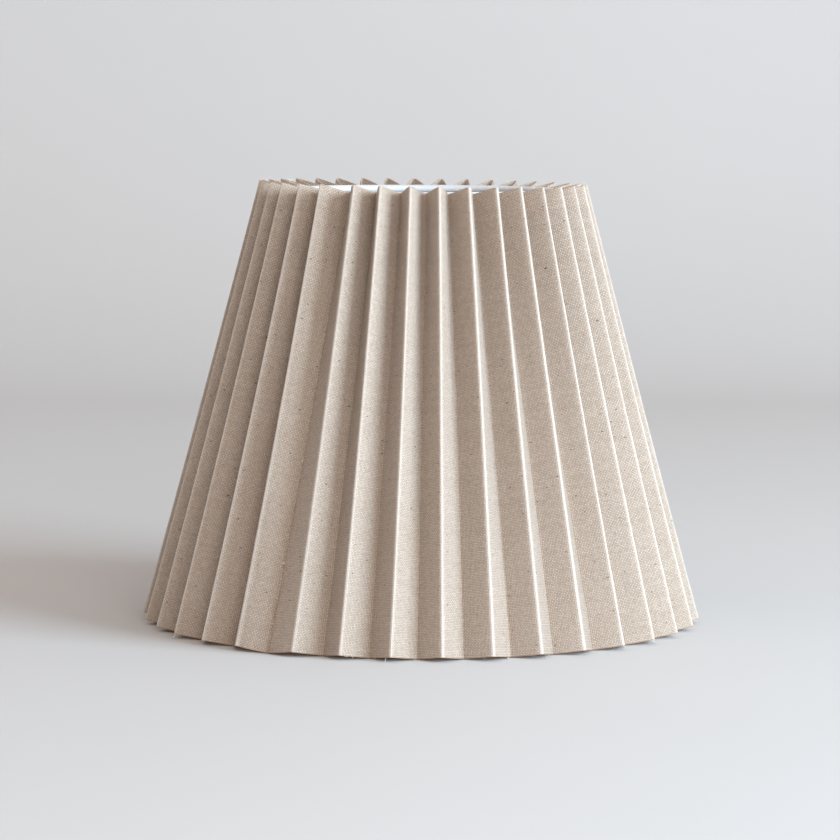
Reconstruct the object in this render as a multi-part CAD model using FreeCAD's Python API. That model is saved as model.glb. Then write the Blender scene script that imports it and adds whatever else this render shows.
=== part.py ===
import FreeCAD, Part
import math
import os

# Pleated empire lamp shade: an accordion-pleated linen cover on a rigid cone liner, two wire
# rings bound into the liner's edges, and a three-armed fitter that sits on a lampholder.
# Millimetres, +Z up. The origin is on the shade's axis, level with the lowest hem points.
# Angles are in degrees, counted from the front (-Y) towards +X.

# ---- driving dimensions -------------------------------------------------------------------

# The cover is one strip of cloth folded into equal pleats. A fold line is straight, so each
# pair below is its radius and height at the lower hem and at the upper hem.
PLEAT_COUNT = 36
RIDGE_LOW = (140.0, 2.6)
RIDGE_HIGH = (82.4, 219.6)
VALLEY_LOW = (130.0, 0.0)
VALLEY_HIGH = (68.5, 216.0)
TOP_TWIST = 1.4              # the pleats lean this far round from the lower hem to the upper
COVER_THICKNESS = 0.6

# The strip's two ends lap in one wider, shallower bay at the front left. The shares below run
# along the lap's face: 0 at the top ply's cut edge, 1 at its ridge, and below 0 past the edge.
SEAM_ANGLE = -32.4
SEAM_BAY = 13.3
SEAM_VALLEY_LOW = (136.0, 0.0)
SEAM_VALLEY_HIGH = (69.5, 216.0)
SEAM_TOP_PLY = 0.93          # how far the top ply reaches from its ridge to the valley
SEAM_FOLD_SHARE = -0.075
SEAM_TAPE_SHARES = (0.03, 0.38)
SEAM_TAIL_SHARE = 0.45
SEAM_TAPE_THICKNESS = 0.1

LINER_THICKNESS = 0.4
LINER_GAP = 0.36             # from the liner out to the cover's inner valley edges
LINER_LOW = 1.2
LINER_HIGH = 216.4
LINER_BUTT = 0.1             # degrees left open where the liner's two ends meet
LINER_TAPE_WIDTH = 6.0       # degrees
LINER_TAPE_THICKNESS = 0.12
LINER_TAPE_MARGIN = 8.0      # from each end of the tape to the liner's edge

TOP_WIRE_RADIUS = 1.4
BOTTOM_WIRE_RADIUS = 1.6
WIRE_CLEARANCE = 0.03        # between a ring and the liner or the tape wrapped round it

BINDING_THICKNESS = 0.25
BINDING_LAP = 5.0            # how far the binding runs down the liner's outer face

GLUE_TAPE_THICKNESS = 0.3
GLUE_TAPE_START = 5.5        # from the liner's edge
GLUE_TAPE_WIDTH = 6.0

FITTER_HEIGHT = 45.0         # underside of the fitter ring
FITTER_THICKNESS = 1.5
FITTER_BORE_RADIUS = 20.5
FITTER_OUTER_RADIUS = 30.0

ARM_COUNT = 3
ARM_FIRST_ANGLE = 60.0
ARM_WIRE_RADIUS = 1.5
ARM_INNER_END = 26.2
ARM_BEND_CORNER = 38.0
ARM_BEND_RADIUS = 12.0
ARM_WELD_DEPTH = 0.3         # how far the spot weld lets the arm into the fitter ring

SHADE_RING_HEIGHT = 11.0
SHADE_RING_FLANGE_RADIUS = 25.0
SHADE_RING_FLANGE_HEIGHT = 5.0
SHADE_RING_BODY_RADIUS = 22.6
SHADE_RING_CHAMFER = 0.6
SHADE_RING_LIFT = 0.05       # it lies on the fitter ring with this much play
THREAD_CREST_RADIUS = 19.7
THREAD_CREST_WIDTH = 0.8     # flat of each crest
THREAD_ROOT_WIDTH = 0.5      # flat between two crests' feet
THREAD_ROOT_RADIUS = 21.0    # wider than the fitter's bore, so that only the fitter bounds it
THREAD_PITCH = 2.5
THREAD_TURNS = 4
THREAD_START = 0.5
FLUTE_COUNT = 30
FLUTE_RADIUS = 1.3
FLUTE_DEPTH = 0.8

# ---- derived values -----------------------------------------------------------------------

PITCH = (360.0 - SEAM_BAY) / (PLEAT_COUNT - 1)
AXIS = FreeCAD.Vector(0, 0, 1)
CENTRE = FreeCAD.Vector(0, 0, 0)


def on_circle(radius, angle, height):
    """The point at a radius, an angle from the front and a height."""
    turn = math.radians(angle)
    return FreeCAD.Vector(radius * math.sin(turn), -radius * math.cos(turn), height)


def in_section(radius, height):
    """The same radius and height drawn in the XZ half-plane, ready to be revolved."""
    return FreeCAD.Vector(radius, 0, height)


# ---- the pleated cover --------------------------------------------------------------------


def moved_inwards(points, distance):
    """The same fold points on the strip's inner side, each fold mitred."""
    normals = []
    for here, after in zip(points, points[1:]):
        along = FreeCAD.Vector(after.x - here.x, after.y - here.y, 0).normalize()
        normals.append(FreeCAD.Vector(-along.y, along.x, 0))
    before = [normals[0]] + normals
    following = normals + [normals[-1]]
    moved = []
    for point, one, other in zip(points, before, following):
        moved.append(point + (one + other) * (distance / (1 + one.dot(other))))
    return moved


def round_the_shade(ridge_rim, valley_rim, seam_rim, twist):
    """Outer fold points along one hem, from the top ply's cut edge round to the last ridge."""
    points = []
    for pleat in range(PLEAT_COUNT):
        angle = SEAM_ANGLE + SEAM_BAY / 2 + twist + pleat * PITCH
        points.append(on_circle(ridge_rim[0], angle, ridge_rim[1]))
        if pleat < PLEAT_COUNT - 1:
            points.append(on_circle(valley_rim[0], angle + PITCH / 2, valley_rim[1]))
    seam_valley = on_circle(seam_rim[0], SEAM_ANGLE + twist, seam_rim[1])
    cut_edge = points[0] + (seam_valley - points[0]) * SEAM_TOP_PLY
    return [cut_edge] + points


def under_top_ply(points, share, tape):
    """A point behind the top ply's inner face, a tape's thickness away, at a share along the lap."""
    edge, ridge = moved_inwards(points, COVER_THICKNESS)[:2]
    along = FreeCAD.Vector(ridge.x - edge.x, ridge.y - edge.y, 0).normalize()
    return edge + (ridge - edge) * share + FreeCAD.Vector(-along.y, along.x, 0) * tape


def hem_line(points):
    """The whole strip along one hem: round the shade, then the seam fold and the tail under the lap."""
    fold = under_top_ply(points, SEAM_FOLD_SHARE, SEAM_TAPE_THICKNESS)
    tail = under_top_ply(points, SEAM_TAIL_SHARE, SEAM_TAPE_THICKNESS)
    return points + [fold, tail]


def both_hems():
    """Outer fold points round the lower and the upper hem."""
    return (round_the_shade(RIDGE_LOW, VALLEY_LOW, SEAM_VALLEY_LOW, 0.0),
            round_the_shade(RIDGE_HIGH, VALLEY_HIGH, SEAM_VALLEY_HIGH, TOP_TWIST))


def ruled_face(start, end, far_start, far_end):
    """The face ruled between two straight edges."""
    return Part.makeRuledSurface(Part.makeLine(start, end), Part.makeLine(far_start, far_end))


def folded_strip(outer_low, outer_high, inner_low, inner_high):
    """A closed solid between an outer and an inner folded surface, which share their fold count."""
    faces = []
    for low, high in ((outer_low, outer_high), (inner_low, inner_high),
                      (outer_low, inner_low), (outer_high, inner_high)):
        for i in range(len(low) - 1):
            faces.append(ruled_face(low[i], low[i + 1], high[i], high[i + 1]))
    for end in (0, -1):
        faces.append(ruled_face(outer_low[end], outer_high[end], inner_low[end], inner_high[end]))
    shell = Part.makeShell(faces)
    shell.sewShape()
    solid = Part.makeSolid(shell)
    if solid.Volume < 0:
        solid.reverse()
    return solid


def pleated_cover():
    """One linen strip folded into ridges and valleys, its ends lapped in the seam bay."""
    outer_low, outer_high = [hem_line(points) for points in both_hems()]
    return folded_strip(outer_low, outer_high, moved_inwards(outer_low, COVER_THICKNESS),
                        moved_inwards(outer_high, COVER_THICKNESS))


def cover_seam_tape():
    """Double-sided tape that fills the gap between the lap's two plies."""
    outer, inner = [], []
    for points in both_hems():
        outer.append([under_top_ply(points, share, 0.0) for share in SEAM_TAPE_SHARES])
        inner.append([under_top_ply(points, share, SEAM_TAPE_THICKNESS)
                      for share in SEAM_TAPE_SHARES])
    return folded_strip(outer[0], outer[1], inner[0], inner[1])


# ---- the liner and everything laid along its slope ----------------------------------------


def radial_inset(face_start, face_end, at_point, distance):
    """How far a point moves towards the axis when its face moves inwards by a distance."""
    along = FreeCAD.Vector(face_end.x - face_start.x, face_end.y - face_start.y, 0).normalize()
    outward = FreeCAD.Vector(at_point.x, at_point.y, 0).normalize()
    return distance / abs(along.cross(outward).z)


def inner_valley_radius(ridge_rim, valley_rim):
    """Radius of a valley fold's inner side, on one hem."""
    ridge = on_circle(ridge_rim[0], 0.0, ridge_rim[1])
    valley = on_circle(valley_rim[0], PITCH / 2, valley_rim[1])
    return valley_rim[0] - radial_inset(ridge, valley, valley, COVER_THICKNESS)


def liner_radius(height):
    """Radius of the liner's outer face at a height."""
    low = inner_valley_radius(RIDGE_LOW, VALLEY_LOW)
    high = inner_valley_radius(RIDGE_HIGH, VALLEY_HIGH)
    share = (height - VALLEY_LOW[1]) / (VALLEY_HIGH[1] - VALLEY_LOW[1])
    return low + (high - low) * share - LINER_GAP


def along_liner(from_top):
    """Section frame at one edge of the liner: its outer corner, the way out, the way past the edge."""
    height = LINER_HIGH if from_top else LINER_LOW
    rise = FreeCAD.Vector(liner_radius(LINER_HIGH) - liner_radius(LINER_LOW), 0,
                          LINER_HIGH - LINER_LOW).normalize()
    outward = FreeCAD.Vector(rise.z, 0, -rise.x)
    beyond = rise if from_top else -rise
    return in_section(liner_radius(height), height), outward, beyond


def section_point(frame, out, past):
    """A point in an edge's section frame: out from the liner, and past its edge."""
    corner, outward, beyond = frame
    return corner + outward * out + beyond * past


def revolved(edges, start_angle=0.0, sweep=360.0):
    """The solid swept by a closed section in the XZ half-plane, turned to start at an angle."""
    face = Part.Face(Part.Wire(edges))
    solid = face.revolve(CENTRE, AXIS, sweep)
    solid.rotate(CENTRE, AXIS, start_angle - 90.0)
    return solid


def polygon_edges(points):
    """Straight edges round a closed polygon."""
    return [Part.makeLine(a, b) for a, b in zip(points, points[1:] + points[:1])]


def wall_band(from_top, out_range, past_range, start_angle=0.0, sweep=360.0):
    """A band that follows the liner's slope, measured from one of its edges."""
    frame = along_liner(from_top)
    corners = [section_point(frame, out, past) for out, past in (
        (out_range[0], past_range[0]), (out_range[1], past_range[0]),
        (out_range[1], past_range[1]), (out_range[0], past_range[1]))]
    return revolved(polygon_edges(corners), start_angle, sweep)


def slope_length():
    """The liner's length along its slope."""
    return math.hypot(liner_radius(LINER_LOW) - liner_radius(LINER_HIGH), LINER_HIGH - LINER_LOW)


def liner():
    """A rigid plastic sheet rolled into a cone, its ends butted at the seam bay."""
    return wall_band(True, (-LINER_THICKNESS, 0.0), (-slope_length(), 0.0),
                     SEAM_ANGLE + LINER_BUTT / 2, 360.0 - LINER_BUTT)


def liner_seam_tape():
    """A strip stuck over the butt joint on the liner's inner face, between the two rings."""
    inner_face = -LINER_THICKNESS
    return wall_band(True, (inner_face - LINER_TAPE_THICKNESS, inner_face),
                     (LINER_TAPE_MARGIN - slope_length(), -LINER_TAPE_MARGIN),
                     SEAM_ANGLE - LINER_TAPE_WIDTH / 2, LINER_TAPE_WIDTH)


def wire_centre(from_top, wire_radius):
    """Section centre of a ring that lies inside the liner, flush with its edge."""
    out = -(LINER_THICKNESS + WIRE_CLEARANCE + wire_radius)
    return section_point(along_liner(from_top), out, -wire_radius)


def wire_ring(from_top, wire_radius):
    """A round wire ring inside one edge of the liner."""
    centre = wire_centre(from_top, wire_radius)
    ring = Part.makeTorus(centre.x, wire_radius)
    ring.translate(FreeCAD.Vector(0, 0, centre.z))
    return ring


def binding(from_top, wire_radius):
    """Tape folded over one edge of the liner and on round the wire ring, back to the liner."""
    frame = along_liner(from_top)
    near = wire_radius + WIRE_CLEARANCE
    far = near + BINDING_THICKNESS
    wire_out = -(LINER_THICKNESS + WIRE_CLEARANCE + wire_radius)
    wire_past = -wire_radius

    def at(out, past):
        return section_point(frame, out, past)

    def around(radius):
        return Part.Arc(at(wire_out, wire_past + radius), at(wire_out - radius, wire_past),
                        at(wire_out, wire_past - radius)).toShape()

    fold = BINDING_THICKNESS
    bevel = fold * math.sqrt(0.5)
    over_edge = wire_past + near
    corner = Part.Arc(at(fold, over_edge), at(bevel, over_edge + bevel),
                      at(0.0, over_edge + fold)).toShape()
    edges = [
        Part.makeLine(at(0.0, -BINDING_LAP), at(fold, -BINDING_LAP)),
        Part.makeLine(at(fold, -BINDING_LAP), at(fold, over_edge)),
        corner,
        Part.makeLine(at(0.0, over_edge + fold), at(wire_out, wire_past + far)),
        around(far),
        Part.makeLine(at(wire_out, wire_past - far), at(-LINER_THICKNESS, wire_past - far)),
        Part.makeLine(at(-LINER_THICKNESS, wire_past - far), at(-LINER_THICKNESS, wire_past - near)),
        Part.makeLine(at(-LINER_THICKNESS, wire_past - near), at(wire_out, wire_past - near)),
        around(near),
        Part.makeLine(at(wire_out, wire_past + near), at(0.0, over_edge)),
        Part.makeLine(at(0.0, over_edge), at(0.0, -BINDING_LAP)),
    ]
    return revolved(Part.__sortEdges__(edges))


def glue_tape(from_top):
    """A double-sided tape band on the liner's outer face, which holds the cover's valleys."""
    return wall_band(from_top, (0.0, GLUE_TAPE_THICKNESS),
                     (-GLUE_TAPE_START - GLUE_TAPE_WIDTH, -GLUE_TAPE_START))


# ---- the fitter ---------------------------------------------------------------------------


def fitter_ring():
    """A flat steel washer whose bore takes the lampholder."""
    outer = Part.makeCylinder(FITTER_OUTER_RADIUS, FITTER_THICKNESS)
    bore = Part.makeCylinder(FITTER_BORE_RADIUS, FITTER_THICKNESS)
    washer = outer.cut(bore)
    washer.translate(FreeCAD.Vector(0, 0, FITTER_HEIGHT))
    return washer


def arm_path():
    """The arm's centre line: level on the fitter ring, one bend, then down to the lower ring."""
    height = FITTER_HEIGHT + FITTER_THICKNESS + ARM_WIRE_RADIUS - ARM_WELD_DEPTH
    start = in_section(ARM_INNER_END, height)
    corner = in_section(ARM_BEND_CORNER, height)
    end = wire_centre(False, BOTTOM_WIRE_RADIUS)
    down = (end - corner).normalize()
    level = FreeCAD.Vector(1, 0, 0)
    half_turn = level.getAngle(down) / 2
    reach = ARM_BEND_RADIUS * math.tan(half_turn)
    towards_centre = (down - level).normalize()
    middle = corner + towards_centre * (ARM_BEND_RADIUS / math.cos(half_turn) - ARM_BEND_RADIUS)
    arc = Part.Arc(corner - level * reach, middle, corner + down * reach).toShape()
    return Part.Wire([Part.makeLine(start, corner - level * reach), arc,
                      Part.makeLine(corner + down * reach, end)])


def fitter_arm(index, washer, lower_ring):
    """A bent wire arm, let into the fitter ring and the lower ring at its welds."""
    path = arm_path()
    start = path.OrderedVertexes[0].Point
    profile = Part.Wire(Part.makeCircle(ARM_WIRE_RADIUS, start, FreeCAD.Vector(1, 0, 0)))
    arm = path.makePipeShell([profile], True, False)
    arm.rotate(CENTRE, AXIS, ARM_FIRST_ANGLE + index * 360.0 / ARM_COUNT - 90.0)
    return arm.cut(washer).cut(lower_ring)


def retaining_ring():
    """The threaded ring that clamps the fitter ring on the lampholder, its flange fluted for grip."""
    top = SHADE_RING_HEIGHT
    edge = SHADE_RING_CHAMFER
    flange_top = SHADE_RING_FLANGE_HEIGHT
    foot = (THREAD_PITCH - THREAD_ROOT_WIDTH) / 2
    points = [
        in_section(THREAD_ROOT_RADIUS, 0.0),
        in_section(SHADE_RING_FLANGE_RADIUS - edge, 0.0),
        in_section(SHADE_RING_FLANGE_RADIUS, edge),
        in_section(SHADE_RING_FLANGE_RADIUS, flange_top - edge),
        in_section(SHADE_RING_FLANGE_RADIUS - edge, flange_top),
        in_section(SHADE_RING_BODY_RADIUS, flange_top),
        in_section(SHADE_RING_BODY_RADIUS, top - edge),
        in_section(SHADE_RING_BODY_RADIUS - edge, top),
        in_section(THREAD_ROOT_RADIUS, top),
    ]
    for turn in reversed(range(THREAD_TURNS)):
        crest = THREAD_START + (turn + 0.5) * THREAD_PITCH
        points.append(in_section(THREAD_ROOT_RADIUS, crest + foot))
        points.append(in_section(THREAD_CREST_RADIUS, crest + THREAD_CREST_WIDTH / 2))
        points.append(in_section(THREAD_CREST_RADIUS, crest - THREAD_CREST_WIDTH / 2))
        points.append(in_section(THREAD_ROOT_RADIUS, crest - foot))
    ring = revolved(polygon_edges(points))
    flute_axis = SHADE_RING_FLANGE_RADIUS - FLUTE_DEPTH + FLUTE_RADIUS
    flutes = []
    for i in range(FLUTE_COUNT):
        flute = Part.makeCylinder(FLUTE_RADIUS, flange_top)
        flute.translate(on_circle(flute_axis, i * 360.0 / FLUTE_COUNT, 0.0))
        flutes.append(flute)
    ring = ring.cut(Part.makeCompound(flutes))
    ring.translate(FreeCAD.Vector(0, 0, FITTER_HEIGHT + FITTER_THICKNESS + SHADE_RING_LIFT))
    return ring


# ---- the assembly -------------------------------------------------------------------------


def build():
    """Every sub-part by its node name."""
    washer = fitter_ring()
    lower_ring = wire_ring(False, BOTTOM_WIRE_RADIUS)
    parts = {
        "pleated_cover": pleated_cover(),
        "cover_seam_tape": cover_seam_tape(),
        "liner": liner(),
        "liner_seam_tape": liner_seam_tape(),
        "top_ring": wire_ring(True, TOP_WIRE_RADIUS),
        "bottom_ring": lower_ring,
        "top_binding": binding(True, TOP_WIRE_RADIUS),
        "top_glue_tape": glue_tape(True),
        "bottom_glue_tape": glue_tape(False),
        "fitter_ring": washer,
        "retaining_ring": retaining_ring(),
    }
    bottom_binding = binding(False, BOTTOM_WIRE_RADIUS)
    for i in range(ARM_COUNT):
        arm = fitter_arm(i, washer, lower_ring)
        bottom_binding = bottom_binding.cut(arm)
        parts["fitter_arm_" + str(i + 1)] = arm
    parts["bottom_binding"] = bottom_binding
    return parts


os.makedirs("parts", exist_ok=True)
for name, shape in build().items():
    solids = shape.Solids
    box = shape.BoundBox
    print(name, "valid", shape.isValid(), "solids", len(solids), "volume", round(shape.Volume, 1),
          "z", round(box.ZMin, 2), round(box.ZMax, 2), "r", round(box.XMax, 2))
    shape.exportStep("parts/" + name + ".step")
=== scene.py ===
import math

import bpy
import numpy as np
from mathutils import Matrix


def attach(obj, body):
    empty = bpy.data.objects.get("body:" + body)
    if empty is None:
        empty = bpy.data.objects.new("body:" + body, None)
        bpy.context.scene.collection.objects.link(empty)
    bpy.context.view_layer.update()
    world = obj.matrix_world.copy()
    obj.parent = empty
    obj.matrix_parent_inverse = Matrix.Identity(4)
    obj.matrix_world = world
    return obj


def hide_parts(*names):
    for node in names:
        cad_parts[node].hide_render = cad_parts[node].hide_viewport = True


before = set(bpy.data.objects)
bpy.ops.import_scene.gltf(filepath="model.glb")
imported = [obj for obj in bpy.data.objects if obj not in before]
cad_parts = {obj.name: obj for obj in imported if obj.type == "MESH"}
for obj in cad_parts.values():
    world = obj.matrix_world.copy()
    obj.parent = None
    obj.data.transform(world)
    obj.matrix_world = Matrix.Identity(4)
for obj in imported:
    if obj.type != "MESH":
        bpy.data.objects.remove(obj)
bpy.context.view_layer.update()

# A pleated linen lamp shade on a hard liner, with wire rings and a fitter inside. Metres, +Z up,
# the front is -Y. Angles are in degrees, counted from the front towards +X.

MM = 0.001
rng = np.random.default_rng(36)

# ---- sizes of the cover ---------------------------------------------------------------------

PLEATS = 36
RIDGE_LOW, RIDGE_HIGH = (140.0, 2.6), (81.8, 219.6)      # radius and height of a ridge's two ends
RIDGE_SAG = 0.5                                           # how far a ridge bows in at mid-height
VALLEY_LOW, VALLEY_HIGH = (130.0, 0.4), (68.5, 216.0)    # the same for a valley
SEAM_LOW, SEAM_HIGH = (136.0, 0.4), (69.5, 216.0)        # and for the valley of the seam bay
TWIST = 1.4
SEAM_ANGLE, SEAM_BAY = -32.4, 13.3
PITCH = (360.0 - SEAM_BAY) / (PLEATS - 1)
CLOTH = 0.45                                              # the cloth's thickness
LAP_GAP = 0.12                                            # the tape between the lap's plies
TOP_TILT = 0.0093                                         # fall of the upper hem towards +X
CUT_EDGE, TAIL_END = -0.93, 2 * PLEATS - 0.55             # the strip's two ends, counted in folds
HEM_STEP = 0.0024                                         # the first row's share of the height
SHARES = np.concatenate([[0, HEM_STEP, 0.007], np.linspace(0.02, 0.98, 40), [0.993, 1 - HEM_STEP, 1]])

# ---- sizes of the liner's edges, the wires and their binding --------------------------------

UP_SLOPE, OUT_OF_SLOPE = np.array([-0.2768, 0.9609]), np.array([0.9609, 0.2768])
LINER_THICKNESS = 0.4
LINER_LOW, LINER_HIGH = np.array([128.53, 1.2]), np.array([66.54, 216.4])   # the outer face's two edges
WIRE_LOW, WIRE_HIGH = 1.6, 1.4                                              # the wires' radii
BINDING_THICKNESS = 0.25
BINDING_LAP = 5.0
BINDING_GAP = 0.03            # between the binding and what it wraps, and between the wire and the liner
FILM_THICKNESS = 0.1
SHARP_EDGE = 60.0             # a sheet's faces that meet more steeply than this are shaded as an edge

# ---- mesh helpers ---------------------------------------------------------------------------


def polar(radius, angle, height):
    """Points at a radius and an angle from the front: x is r sin a, y is minus r cos a."""
    turn = np.radians(angle)
    return np.stack(np.broadcast_arrays(radius * np.sin(turn), -radius * np.cos(turn), height), -1)


def grid_quads(rows, columns, wrap_rows=False, wrap_columns=False):
    """Corner numbers of a grid's cells, whose points are counted row by row; a wrapped side joins up."""
    r = np.arange(rows if wrap_rows else rows - 1)[:, None]
    c = np.arange(columns if wrap_columns else columns - 1)[None, :]
    r, c = np.broadcast_arrays(r, c)
    up, on = (r + 1) % rows, (c + 1) % columns
    quads = np.stack([r * columns + c, r * columns + on, up * columns + on, up * columns + c], -1)
    return quads.reshape(-1, 4)


def outward(points, quads):
    """The same quads, turned over if the volume that they close is negative."""
    a, b, c, d = (points[quads[:, i]] for i in range(4))
    volume = np.einsum("ij,ij->", a, np.cross(b, c)) + np.einsum("ij,ij->", a, np.cross(c, d))
    return quads if volume > 0 else quads[:, ::-1]


def new_piece(name, points, quads, material, body, uv=None, fields=None, edged=False):
    """A mesh object in millimetres, made metres, riding on a body, with per-point UV and fields."""
    mesh = bpy.data.meshes.new(name)
    quads = outward(points, quads)
    mesh.from_pydata((points * MM).tolist(), [], quads.tolist())
    if uv is not None:
        layer = mesh.uv_layers.new(name="cloth")
        corners = np.empty(len(mesh.loops), np.int32)
        mesh.loops.foreach_get("vertex_index", corners)
        layer.data.foreach_set("uv", (uv * MM)[corners].astype(np.float32).ravel())
    for label, values in (fields or {}).items():
        mesh.attributes.new(label, "FLOAT", "POINT").data.foreach_set("value", values.astype(np.float32))
    mesh.polygons.foreach_set("use_smooth", np.ones(len(mesh.polygons), bool))
    if edged:
        mesh.set_sharp_from_angle(angle=math.radians(SHARP_EDGE))
    mesh.materials.append(material)
    mesh.update()
    piece = bpy.data.objects.new(name, mesh)
    bpy.context.scene.collection.objects.link(piece)
    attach(piece, body)
    return piece


def thick_sheet(outer, inner):
    """Points and quads of a closed sheet between two grids of one size, its four edges walled."""
    rows, columns = outer.shape[:2]
    count = rows * columns
    points = np.concatenate([outer.reshape(-1, 3), inner.reshape(-1, 3)])
    face = grid_quads(rows, columns)
    index = np.arange(count).reshape(rows, columns)
    walls = []
    for edge, step in ((index[0], 1), (index[-1], -1), (index[:, 0], -1), (index[:, -1], 1)):
        edge = edge[::step]
        walls.append(np.stack([edge[1:], edge[:-1], edge[:-1] + count, edge[1:] + count], -1))
    return points, np.concatenate([face, face[:, ::-1] + count, *walls])


def surface_normals(points):
    """Unit normals of a grid surface, from the cross product of its two central differences."""
    across = np.gradient(points, axis=1)
    up = np.gradient(points, axis=0)
    normal = np.cross(across, up)
    return normal / np.linalg.norm(normal, axis=-1, keepdims=True)


# ---- material helpers -----------------------------------------------------------------------


class Recipe:
    """One material's node tree, built a node at a time."""

    def __init__(self, name):
        self.material = bpy.data.materials.new(name)
        self.material.use_nodes = True
        self.tree = self.material.node_tree
        self.tree.nodes.clear()

    def add(self, kind, settings=None, **sockets):
        """A node of a kind; a socket takes a number, a colour or another node's output."""
        node = self.tree.nodes.new("ShaderNode" + kind)
        for key, value in (settings or {}).items():
            setattr(node, key, value)
        for key, value in sockets.items():
            label = key.replace("_", " ")
            socket = node.inputs[int(key[1:])] if key[0] == "i" and key[1:].isdigit() else node.inputs[label]
            if isinstance(value, bpy.types.NodeSocket):
                self.tree.links.new(value, socket)
            else:
                socket.default_value = value
        return node

    def calc(self, operation, a, b=0.0, c=0.0, clamp=False):
        """A Math node's result."""
        node = self.add("Math", {"operation": operation, "use_clamp": clamp}, i0=a, i1=b, i2=c)
        return node.outputs[0]

    def blend(self, share, a, b, kind="MIX"):
        """A colour between two colours."""
        node = self.add("Mix", {"data_type": "RGBA", "blend_type": kind}, i0=share, i6=a, i7=b)
        return node.outputs[2]

    def noise(self, vector, scale, detail=2.0, roughness=0.5):
        """Noise from 0 to 1."""
        node = self.add("TexNoise", Vector=vector, Scale=scale, Detail=detail, Roughness=roughness)
        return node.outputs[0]

    def stretch(self, vector, scale):
        """A vector stretched by a factor along each axis."""
        return self.add("Mapping", Vector=vector, Scale=scale).outputs[0]

    def finish(self, shader):
        """Links the last shader to the output and gives the material."""
        self.add("OutputMaterial", Surface=shader)
        return self.material


def rgb(r, g, b):
    """A colour with full alpha."""
    return (r, g, b, 1.0)


# ---- materials ------------------------------------------------------------------------------

def yarn_waves(m, uv, yarn, drift):
    """Yarn counts along both directions of the cloth, bent a little by a drift, and their waves."""
    parts = m.add("SeparateXYZ", Vector=uv)
    counts = [m.calc("MULTIPLY_ADD", drift, bend, m.calc("DIVIDE", parts.outputs[i], yarn))
              for i, bend in ((0, 1.1), (1, 0.9))]
    return counts, [m.calc("SINE", m.calc("MULTIPLY", count, math.pi)) for count in counts]


def flecked(m, uv, colour, scale, size, rare, dark, warm):
    """The colour with a few short coloured fibres in it."""
    cell = m.add("TexVoronoi", Vector=m.stretch(uv, (1.0, 2.2, 1.0)), Scale=scale)
    draw = m.add("SeparateColor", Color=cell.outputs["Color"])
    here = m.calc("MULTIPLY", m.calc("LESS_THAN", cell.outputs["Distance"], size),
                  m.calc("LESS_THAN", draw.outputs[0], rare))
    fleck = m.blend(m.calc("GREATER_THAN", draw.outputs[1], 0.55), dark, warm)
    return m.blend(m.calc("MULTIPLY", here, 0.75), colour, fleck)


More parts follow.
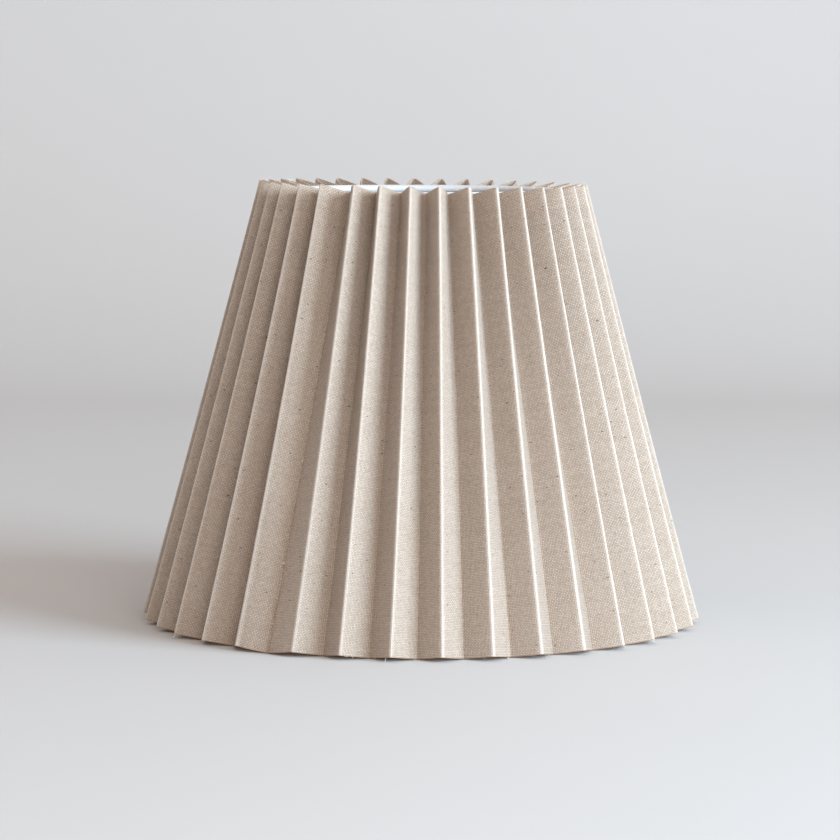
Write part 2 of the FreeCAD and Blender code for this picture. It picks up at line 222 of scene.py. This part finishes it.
def woven(name, yarn, warp, weft, tints, through, relief, stray_share=0.0, flecks=()):
    """Plain-woven cloth: over and under by the sign of sin a times sin b, painted shade where the yarns dip
    between their crowns, uneven yarns, slubs and clouds of tone, stray fibres, a painted highlight on the
    ridges, painted shade deepening into the valleys, painted shadow along the cut edge, and part of the
    light passing through."""
    m = Recipe(name)
    # The three tints: clouds of tone and the valleys' painted shade; painted shade where the yarns dip, and
    # random specks; painted shadow along the cut edges, and stray fibres.
    cloud_and_valley_shade_tint, yarn_shade_and_speck_tint, edge_shadow_and_fibre_tint = tints
    uv = m.add("UVMap", {"uv_map": "cloth"}).outputs[0]
    counts, waves = yarn_waves(m, uv, yarn, m.noise(uv, 90.0, 2.0))
    over = m.calc("MULTIPLY_ADD", m.calc("MULTIPLY", *waves), 2.2, 0.5, clamp=True)
    slubs = [m.noise(m.stretch(uv, way), 1.0, 2.0) for way in ((900.0, 45.0, 1.0), (45.0, 900.0, 1.0))]
    tones = []
    for count, slub, spread, streak in zip(counts, slubs, (0.2, 0.24), (0.4, 0.45)):
        draw = m.add("TexWhiteNoise", {"noise_dimensions": "1D"}, W=m.calc("FLOOR", count)).outputs[0]
        tones.append(m.calc("MULTIPLY_ADD", draw, spread, m.calc("MULTIPLY", slub, streak)))
    colour = m.blend(over, m.blend(tones[1], *weft), m.blend(tones[0], *warp))
    colour = m.blend(m.calc("MULTIPLY", m.noise(uv, 28.0, 3.0), 0.35), colour, cloud_and_valley_shade_tint, "MULTIPLY")
    crown = m.calc("MULTIPLY", m.calc("ABSOLUTE", waves[0]), over)
    crown = m.calc("MULTIPLY_ADD", m.calc("ABSOLUTE", waves[1]), m.calc("SUBTRACT", 1.0, over), crown)
    # Painted shade: the colour darkens towards the tint where the yarns dip between their crowns.
    colour = m.blend(m.calc("SUBTRACT", 1.0, crown), colour, yarn_shade_and_speck_tint, "MULTIPLY")
    crossing = m.add("CombineXYZ", X=m.calc("FLOOR", counts[0]), Y=m.calc("FLOOR", counts[1])).outputs[0]
    speck = m.add("TexWhiteNoise", {"noise_dimensions": "2D"}, Vector=crossing).outputs[0]
    colour = m.blend(m.calc("MULTIPLY", speck, 0.3), colour, yarn_shade_and_speck_tint, "MULTIPLY")
    fibre = m.noise(m.stretch(uv, (420.0, 1500.0, 1.0)), 1.0, 2.0, 0.65)
    stray = m.calc("MULTIPLY", m.calc("SUBTRACT", fibre, 0.58), 6.0, clamp=True)
    colour = m.blend(m.calc("MULTIPLY", stray, stray_share), colour, edge_shadow_and_fibre_tint)
    for fleck in flecks:
        colour = flecked(m, uv, colour, *fleck)
    # Painted highlight: the colour is lightened along each ridge.
    ridge_highlight = m.add("Attribute", {"attribute_name": "ridge"}).outputs["Fac"]
    colour = m.blend(m.calc("MULTIPLY", ridge_highlight, 0.6), colour, rgb(0.98, 0.96, 0.93))
    # Painted shade: the colour darkens towards each valley.
    valley_shade = m.add("Attribute", {"attribute_name": "valley"}).outputs["Fac"]
    colour = m.blend(m.calc("MULTIPLY", valley_shade, 0.4), colour, cloud_and_valley_shade_tint, "MULTIPLY")
    # Painted shadow along the cut edges: the colour darkens towards the edge tint.
    edge = m.add("Attribute", {"attribute_name": "cut_edge"}).outputs["Fac"]
    colour = m.blend(m.calc("MULTIPLY", edge, 0.85), colour, edge_shadow_and_fibre_tint)

    height = m.calc("MULTIPLY_ADD", slubs[1], 0.8, crown)
    bump = m.add("Bump", Strength=0.6, Distance=relief, Height=height).outputs[0]
    front = m.add("BsdfPrincipled", Base_Color=colour, Roughness=0.92, Normal=bump)
    front.inputs["Specular IOR Level"].default_value = 0.15
    front.inputs["Sheen Weight"].default_value = 0.2
    front.inputs["Sheen Roughness"].default_value = 0.6
    back = m.add("BsdfTranslucent", Color=colour, Normal=bump)
    both = m.add("MixShader", i0=through, i1=front.outputs[0], i2=back.outputs[0])
    return m.finish(both.outputs[0])


def plain(name, colour, other, scale, roughness, bump=0.1, grain=0.02 * MM, coat=0.0, through=0.0):
    """A moulded, coated or sheet finish: two close colours in soft clouds, a fine grain, and the share
    of light that passes through."""
    m = Recipe(name)
    where = m.add("TexCoord").outputs["Object"]
    cloud = m.noise(where, scale, 4.0)
    fine = m.noise(where, scale * 30.0, 3.0)
    tone = m.blend(cloud, colour, other)
    rough = m.calc("MULTIPLY_ADD", fine, 0.15, roughness - 0.07)
    surface = m.add("Bump", Strength=bump, Distance=grain, Height=fine).outputs[0]
    shader = m.add("BsdfPrincipled", Base_Color=tone, Roughness=rough, Normal=surface)
    shader.inputs["Coat Weight"].default_value = coat
    if through == 0.0:
        return m.finish(shader.outputs[0])
    back = m.add("BsdfTranslucent", Color=tone, Normal=surface)
    return m.finish(m.add("MixShader", i0=through, i1=shader.outputs[0], i2=back.outputs[0]).outputs[0])


LINEN = woven("undyed_linen", 0.78 * MM, (rgb(0.98, 0.94, 0.885), rgb(0.82, 0.735, 0.645)),
              (rgb(0.91, 0.84, 0.765), rgb(0.62, 0.515, 0.425)),
              (rgb(0.86, 0.78, 0.70), rgb(0.44, 0.35, 0.29), rgb(0.46, 0.27, 0.16)), 0.48, 0.26 * MM, 0.42,
              ((170.0, 0.095, 0.42, rgb(0.06, 0.07, 0.12), rgb(0.42, 0.10, 0.08)),
               (110.0, 0.075, 0.42, rgb(0.05, 0.04, 0.03), rgb(0.60, 0.29, 0.09)),
               (42.0, 0.034, 0.34, rgb(0.04, 0.05, 0.09), rgb(0.10, 0.07, 0.05))))
COTTON = woven("cotton_binding", 0.42 * MM, (rgb(0.70, 0.72, 0.75), rgb(0.60, 0.62, 0.66)),
               (rgb(0.68, 0.70, 0.73), rgb(0.58, 0.60, 0.64)),
               (rgb(0.92, 0.92, 0.92), rgb(0.82, 0.82, 0.83), rgb(0.70, 0.69, 0.67)), 0.15, 0.06 * MM)
THREAD = plain("loose_linen_thread", rgb(0.92, 0.88, 0.81), rgb(0.78, 0.68, 0.56), 400.0, 0.9)
LINER = plain("white_liner_sheet", rgb(0.90, 0.91, 0.92), rgb(0.86, 0.875, 0.89), 60.0, 0.5,
              through=0.6)
WIRE = plain("white_coated_wire", rgb(0.78, 0.78, 0.76), rgb(0.70, 0.70, 0.68), 120.0, 0.35, coat=0.3)
FITTER = plain("white_coated_steel", rgb(0.78, 0.78, 0.76), rgb(0.70, 0.70, 0.68), 90.0, 0.35, coat=0.3)
MOULDED = plain("cream_moulding", rgb(0.76, 0.74, 0.68), rgb(0.70, 0.68, 0.62), 90.0, 0.3, coat=0.4)
FILM = plain("adhesive_film", rgb(0.75, 0.72, 0.62), rgb(0.68, 0.64, 0.52), 150.0, 0.3)


# ---- the pleated cover ----------------------------------------------------------------------


def fold_angles():
    """Angle of every fold line at the lower hem, from the seam valley round to the first ridge again."""
    first = SEAM_ANGLE + SEAM_BAY / 2
    ridges_and_valleys = first + np.arange(2 * PLEATS - 1) * PITCH / 2
    return np.concatenate([[SEAM_ANGLE], ridges_and_valleys, [SEAM_ANGLE + 360.0, first + 360.0]])


FOLDS = fold_angles()
RIDGE_ROUNDING = 0.7        # radius of a pressed ridge
CURVE_LOW, CURVE_HIGH = 1.1, 1.45   # power of the faces' curve at the two hems: nearly flat, hollow


def fold_play(spread):
    """A small random number for each fold line; the strip's two ends share theirs, because they lap."""
    play = rng.normal(0.0, spread, len(FOLDS))
    play[-2:] = play[:2]
    return play


angle_play, lean_play, bow_play = fold_play(0.13), fold_play(0.16), fold_play(0.07)
depth_play = fold_play(0.22)


def pleated(at, share):
    """Points of the cover's outer face, for fold counts at and shares of the height, as a grid.

    A point's angle runs evenly from fold to fold. Its radius is the valley's plus the pleat's depth
    times (1 - x) to a power, where x is the distance from the nearest ridge, 0 to 1, rounded off at
    the ridge by a hyperbola. Radii, heights and twist run evenly from the lower hem to the upper."""
    at, share = np.broadcast_arrays(at[None, :], share[:, None])
    order = np.arange(-1, 2 * PLEATS + 1)
    angle = np.interp(at, order, FOLDS + angle_play) + share * (TWIST + np.interp(at, order, lean_play))
    angle = angle + np.sin(np.pi * share) * np.interp(at, order, bow_play)
    seam = np.clip(1 - np.abs(at + 1), 0, 1) + np.clip(1 - np.abs(at - 2 * PLEATS + 1), 0, 1)
    seam = np.minimum(seam * 4, 1)
    ridge = RIDGE_LOW[0] + (RIDGE_HIGH[0] - RIDGE_LOW[0]) * share - RIDGE_SAG * np.sin(np.pi * share)
    valley = VALLEY_LOW[0] + (VALLEY_HIGH[0] - VALLEY_LOW[0]) * share
    shallow = SEAM_LOW[0] + (SEAM_HIGH[0] - SEAM_LOW[0]) * share
    valley = valley + (shallow - valley) * seam
    depth = ridge - valley
    half_pitch = np.radians(PITCH / 2) * (ridge + valley) / 2
    from_ridge = np.abs(at - 2 * np.round(at / 2))
    power = CURVE_LOW + (CURVE_HIGH - CURVE_LOW) * share
    soft = RIDGE_ROUNDING * power * depth / half_pitch ** 2
    from_ridge = (np.hypot(from_ridge, soft) - soft) / (np.hypot(1, soft) - soft)
    rise = np.maximum(1 - from_ridge, 0) ** power
    play = np.interp(at, order, depth_play)
    radius = valley + depth * rise + play * rise
    low, high = RIDGE_LOW[1] - VALLEY_LOW[1], RIDGE_HIGH[1] - VALLEY_HIGH[1]
    height = VALLEY_LOW[1] + (VALLEY_HIGH[1] - VALLEY_LOW[1]) * share + rise * (low + (high - low) * share)
    points = polar(radius, angle, height)
    points[..., 2] -= TOP_TILT * points[..., 0] * share
    return points


TUCK_START, TUCK_RUN = 2 * PLEATS - 1.7, 0.5      # where the strip's tail dips under the lap, in folds


def tucked(at):
    """How far in the strip lies at a fold count: nothing until the last face, then under the lap."""
    ramp = np.clip((at - TUCK_START) / TUCK_RUN, 0, 1)
    return (CLOTH + LAP_GAP) * ramp * ramp * (3 - 2 * ramp)


COLUMN_INSET = 0.045        # the strip's second and last-but-one columns, in from its cut ends


def face_columns():
    """Fold counts of the mesh's columns: each face has the same few, close together at its ridge."""
    steps = np.array([0, 0.02, 0.045, 0.08, 0.125, 0.19, 0.28, 0.4, 0.54, 0.68, 0.81, 0.92])
    inward = np.concatenate([steps, 2 - steps[::-1][:-1], [1.0]])
    one_pleat = np.sort(np.unique(np.round(inward, 4)))
    whole = (one_pleat[None, :] + 2 * np.arange(-1, PLEATS + 1)[:, None]).ravel()
    whole = np.unique(np.round(whole, 4))
    first, last = CUT_EDGE + COLUMN_INSET, TAIL_END - COLUMN_INSET
    inside = whole[(whole > first + 0.01) & (whole < last - 0.01)]
    return np.concatenate([[CUT_EDGE, first], inside, [last, TAIL_END]])


def cloth_uv(points):
    """Distance along the strip at mid-height, and distance up each column, for every point."""
    middle = points[points.shape[0] // 2]
    along = np.concatenate([[0], np.cumsum(np.linalg.norm(np.diff(middle, axis=0), axis=1))])
    steps = np.linalg.norm(np.diff(points, axis=0), axis=2).mean(1)
    up = np.concatenate([[0], np.cumsum(steps)])
    return np.stack(np.broadcast_arrays(along[None, :], up[:, None]), -1), along[-1], up[-1]


COLUMNS = face_columns()


def sheet_piece(name, outer, inner, material, stands_for, last_row=1.0, fields=None):
    """A cloth sheet between two grids, with its UV in the cloth and its cut edges marked."""
    points, quads = thick_sheet(outer, inner)
    uv, length, width = cloth_uv(outer)
    edge = np.zeros(outer.shape[:2])
    edge[0] = 1.0
    edge[-1] = last_row
    edge[:, [0, -1]] = 1.0
    piece = new_piece(name, points, quads, material, "shade",
                      uv=np.concatenate([uv.reshape(-1, 2)] * 2),
                      fields={"cut_edge": np.tile(edge.ravel(), 2), **(fields or {})}, edged=True)
    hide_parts(stands_for)
    return piece, length * MM, width * MM


def tubes(lines, radii):
    """Points and quads of many closed four-sided tubes, one round each line of points."""
    count, steps = lines.shape[:2]
    along = np.gradient(lines, axis=1)
    along /= np.linalg.norm(along, axis=-1, keepdims=True)
    side = np.cross(along, [0.31, 0.52, 0.79])
    side /= np.linalg.norm(side, axis=-1, keepdims=True)
    other = np.cross(along, side)
    turn = np.radians([0, 90, 180, 270])
    ring = np.cos(turn)[:, None] * side[:, :, None, :] + np.sin(turn)[:, None] * other[:, :, None, :]
    points = lines[:, :, None, :] + ring * radii[:, None, None, None]
    one = grid_quads(steps, 4, wrap_columns=True)
    ends = np.array([[3, 2, 1, 0], [0, 1, 2, 3]]) + np.array([[0], [4 * (steps - 1)]])
    one = np.concatenate([one, ends])
    quads = one[None] + (np.arange(count) * steps * 4)[:, None, None]
    return points.reshape(-1, 3), quads.reshape(-1, 4)


THREAD_RADII = 0.05, 0.1
THREAD_FLOOR = 0.15         # the lowest that a loose thread's middle line may hang


def loose_threads(name, roots, ways, lengths):
    """Short yarn ends: each leaves its root along a way, curls aside as the square of its run, and
    stays off the floor."""
    run = np.linspace(0, 1, 6)[None, :, None]
    curl = rng.normal(0.0, 0.35, roots.shape)[:, None, :]
    lines = roots[:, None, :] + lengths[:, None, None] * (ways[:, None, :] * run + curl * run ** 2)
    lines[..., 2] = np.maximum(lines[..., 2], THREAD_FLOOR)
    points, quads = tubes(lines, rng.uniform(*THREAD_RADII, len(roots)))
    return new_piece(name, points, quads, THREAD, "shade")


def unit(vectors):
    """The same vectors, one long."""
    return vectors / np.linalg.norm(vectors, axis=-1, keepdims=True)


def hem_threads(name, share, down, count):
    """Yarn ends that have worked loose from one hem."""
    at = rng.uniform(0.0, 2 * PLEATS - 2, count)
    order = np.argsort(at)
    roots = pleated(at[order], np.array([share]))[0]
    out = roots * [1, 1, 0]
    lean = unit(out) * rng.uniform(-0.3, 0.5, (count, 1)) + [0, 0, down]
    ways = unit(lean + rng.normal(0, 0.4, (count, 3)))
    return loose_threads(name, roots - unit(out) * CLOTH / 2, ways, rng.uniform(0.4, 1.9, count))


def seam_threads(count):
    """Yarn ends along the lap's cut edge, lying across it and a little off the cloth."""
    shares = np.sort(rng.uniform(0.004, 0.996, count))
    here, beside = (pleated(np.array([CUT_EDGE + step]), shares)[:, 0] for step in (0.0, 0.1))
    across, up = unit(here - beside), unit(np.gradient(here, axis=0))
    lift = unit(np.cross(up, across)) * 0.16
    ways = unit(across + up * rng.normal(0, 0.8, (count, 1)) + lift * rng.uniform(0, 3, (count, 1)))
    return loose_threads("lap_edge_threads", here - lift, ways, rng.uniform(0.4, 1.5, count))


RIDGE_HIGHLIGHT = 0.07           # half-width of a ridge's painted highlight line, as a share of a face


def make_cover():
    """The strip of cloth: its outer face, the same face moved in by its thickness, and cut edges. The painted
    highlight falls off from a ridge as exp(-(x / w) ** 2), and the painted shade grows towards a valley as x
    cubed."""
    nominal = pleated(COLUMNS, SHARES)
    normals = surface_normals(nominal)
    outer = nominal - normals * tucked(COLUMNS)[None, :, None]
    off_ridge = np.abs(COLUMNS - 2 * np.round(COLUMNS / 2))
    # The ridges' painted highlight and the valleys' painted shade, read by the cloth's material.
    painted_light = {"ridge": np.exp(-(off_ridge / RIDGE_HIGHLIGHT) ** 2), "valley": off_ridge ** 3}
    painted_light = {label: np.tile(values, 2 * len(SHARES)) for label, values in painted_light.items()}
    cloth = sheet_piece("cover_cloth", outer, outer - normals * CLOTH, LINEN,
                        "pleated_cover", last_row=0.2, fields=painted_light)[0]
    loose = [hem_threads("lower_hem_threads", 0.0, -1.0, 90), hem_threads("upper_hem_threads", 1.0, 1.0, 40),
             seam_threads(280)]


def make_lap_tape():
    """The double-sided film between the lap's two plies."""
    at, shares = np.linspace(CUT_EDGE + 0.03, CUT_EDGE + 0.35, 10), np.linspace(0.01, 0.99, 44)
    nominal = pleated(at, shares)
    inward = -surface_normals(nominal)
    points, quads = thick_sheet(nominal + inward * (CLOTH + 0.01),
                                nominal + inward * (CLOTH + 0.01 + FILM_THICKNESS))
    film = new_piece("lap_tape", points, quads, FILM, "shade", edged=True)
    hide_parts("cover_seam_tape")


make_cover()
make_lap_tape()

# ---- the bindings ---------------------------------------------------------------------------


LAP_POINTS, CORNER_POINTS, ROUND_POINTS = 7, 6, 22
ON_WIRE = slice(14, 28)      # points of the middle line that lie on the wire
TURN_IN, PUCKER_RUN = 14, 8  # where the pucker starts, and how many points it takes to be full
PUCKER = 0.03


def binding_line(wire):
    """The binding's middle line in section, as offsets out from the liner's outer face and past its
    edge: up the outer face, a quarter turn over the edge, across to the wire, round the wire by
    195 degrees, and on to the liner's inner face."""
    off = BINDING_THICKNESS / 2 + BINDING_GAP
    turn = np.radians(np.linspace(0, 90, CORNER_POINTS))
    lap = np.stack([np.full(LAP_POINTS, off), np.linspace(-BINDING_LAP, -0.3, LAP_POINTS)], -1)
    corner = np.stack([off * np.cos(turn), off * np.sin(turn)], -1)
    centre = np.array([-(LINER_THICKNESS + BINDING_GAP + wire), -wire])
    around = np.radians(np.linspace(90, 285, ROUND_POINTS))
    wrapped = centre + (wire + off) * np.stack([np.cos(around), np.sin(around)], -1)
    inside = -LINER_THICKNESS - off
    back = np.array([[inside - 0.25, -2 * wire - 0.35], [inside, -2 * wire - 0.7], [inside, -2 * wire - 1.6]])
    return np.concatenate([lap, corner, wrapped, back])


def make_binding(name, node, edge, past, wire, steps):
    """A cotton tape wrapped over the liner's edge and a wire, puckered a little where it turns in."""
    line = binding_line(wire)
    section = edge + line[:, :1] * OUT_OF_SLOPE + line[:, 1:] * UP_SLOPE * past
    angle = SEAM_ANGLE + 180.0 + np.linspace(0.1, 359.9, steps)
    middle = polar(section[None, :, 0], angle[:, None], section[None, :, 1])
    normal = surface_normals(middle)
    centre = edge - (LINER_THICKNESS + BINDING_GAP + wire) * OUT_OF_SLOPE - wire * UP_SLOPE * past
    away = middle - polar(centre[0], angle[:, None], centre[1])
    normal *= np.sign(np.einsum("ijk,ijk->", normal[:, ON_WIRE], away[:, ON_WIRE]))
    inward = np.clip((np.arange(len(line)) - TURN_IN) / PUCKER_RUN, 0, 1)
    pucker = sum(np.sin(np.radians(angle) * turns + phase)[:, None] for turns, phase in
                 zip(rng.integers(30, 110, 4), rng.uniform(0, 6.28, 4)))
    middle = middle + normal * (PUCKER * np.maximum(pucker, 0) * inward)[..., None]
    half = normal * BINDING_THICKNESS / 2
    tape, width, length = sheet_piece(name, middle + half, middle - half, COTTON, node)


make_binding("top_binding_tape", "top_binding", LINER_HIGH, 1.0, WIRE_HIGH, 300)
make_binding("bottom_binding_tape", "bottom_binding", LINER_LOW, -1.0, WIRE_LOW, 480)

# ---- the CAD parts that stay ----------------------------------------------------------------

FINISHES = {
    "liner": LINER, "liner_seam_tape": FILM, "top_glue_tape": FILM, "bottom_glue_tape": FILM,
    "top_ring": WIRE, "bottom_ring": WIRE, "fitter_arm_1": WIRE, "fitter_arm_2": WIRE,
    "fitter_arm_3": WIRE, "fitter_ring": FITTER, "retaining_ring": MOULDED,
}
for node, finish in FINISHES.items():
    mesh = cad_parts[node].data
    mesh.materials.clear()
    mesh.materials.append(finish)

# ---- floor, light and camera ----------------------------------------------------------------


FLOOR_FRONT, BEND_START, BEND_RADIUS, WALL_TOP, HALF_WIDTH = -3000.0, 1200.0, 800.0, 3600.0, 3500.0


def make_studio():
    """A pale floor that bends up into a backdrop by a quarter circle; from behind it is clear."""
    m = Recipe("pale_paper")
    where = m.add("TexCoord").outputs["Object"]
    tone = m.blend(m.noise(where, 3.0, 3.0), rgb(0.502, 0.498, 0.504), rgb(0.522, 0.518, 0.524))
    shader = m.add("BsdfPrincipled", Base_Color=tone, Roughness=0.9)
    clear = m.add("BsdfTransparent")
    behind = m.add("NewGeometry").outputs["Backfacing"]
    both = m.add("MixShader", i0=behind, i1=shader.outputs[0], i2=clear.outputs[0])
    paper = m.finish(both.outputs[0])
    bend = np.radians(np.arange(6, 91, 6))
    wall = BEND_START + BEND_RADIUS
    run = np.concatenate([[FLOOR_FRONT, BEND_START], BEND_START + BEND_RADIUS * np.sin(bend), [wall]])
    rise = np.concatenate([[0.0, 0.0], BEND_RADIUS - BEND_RADIUS * np.cos(bend), [WALL_TOP]])
    side = np.array([-HALF_WIDTH, HALF_WIDTH])
    points = np.stack(np.broadcast_arrays(side[None, :], run[:, None], rise[:, None]), -1)
    mesh = bpy.data.meshes.new("studio_floor")
    quads = grid_quads(len(run), 2)
    mesh.from_pydata((points.reshape(-1, 3) * MM).tolist(), [], quads.tolist())
    mesh.materials.append(paper)
    mesh.polygons.foreach_set("use_smooth", np.ones(len(mesh.polygons), bool))
    floor = bpy.data.objects.new("studio_floor", mesh)
    bpy.context.scene.collection.objects.link(floor)


def area_light(name, place, aim, size, watts, colour):
    """A rectangular soft light at a place, turned towards a point."""
    data = bpy.data.lights.new(name, "AREA")
    data.shape = "RECTANGLE"
    data.size, data.size_y = size
    data.energy = watts
    data.color = colour
    lamp = bpy.data.objects.new(name, data)
    bpy.context.scene.collection.objects.link(lamp)
    back = np.array(place) - np.array(aim)
    x = np.cross([0, 0, 1], back)
    y = np.cross(back, x)
    axes = np.array([v / np.linalg.norm(v) for v in (x, y, back)]).T
    lamp.matrix_world = Matrix.Translation(place) @ Matrix(axes.tolist()).to_4x4()


LENS = 144.5
CAMERA_PLACE = (-0.0013, -1.689, 0.2626)
CAMERA_DOWN, CAMERA_ROLL = 5.49, 0.29


def make_camera():
    """The camera: a little above the shade's top, looking slightly down."""
    data = bpy.data.cameras.new("camera")
    data.lens = LENS
    data.sensor_width = 36.0
    data.clip_end = 50.0
    camera = bpy.data.objects.new("camera", data)
    bpy.context.scene.collection.objects.link(camera)
    tilt, roll = math.radians(90 - CAMERA_DOWN), math.radians(CAMERA_ROLL)
    turn = Matrix.Rotation(tilt, 4, "X") @ Matrix.Rotation(roll, 4, "Z")
    camera.matrix_world = Matrix.Translation(CAMERA_PLACE) @ turn
    bpy.context.scene.camera = camera


def make_world():
    """Even, warm room light, as walls and a wood floor send back."""
    world = bpy.data.worlds.new("room")
    world.use_nodes = True
    bpy.context.scene.world = world
    sky = world.node_tree.nodes["Background"]
    sky.inputs["Color"].default_value = rgb(1.0, 0.87, 0.77)
    sky.inputs["Strength"].default_value = 0.68


make_studio()
make_world()
area_light("window", (2.0, -1.3, 0.85), (0.0, 0.0, 0.12), (1.5, 1.2), 124.0, (0.72, 0.88, 1.0))
area_light("front_fill", (0.6, -2.6, 1.0), (0.0, 0.0, 0.1), (1.4, 1.4), 37.0, (1.0, 0.965, 0.93))
area_light("backdrop_wash", (0.0, 0.7, 1.9), (0.0, 2.0, 0.4), (3.0, 0.6), 5.0, (0.95, 0.98, 1.0))
make_camera()
bpy.context.scene.view_settings.view_transform = "Standard"
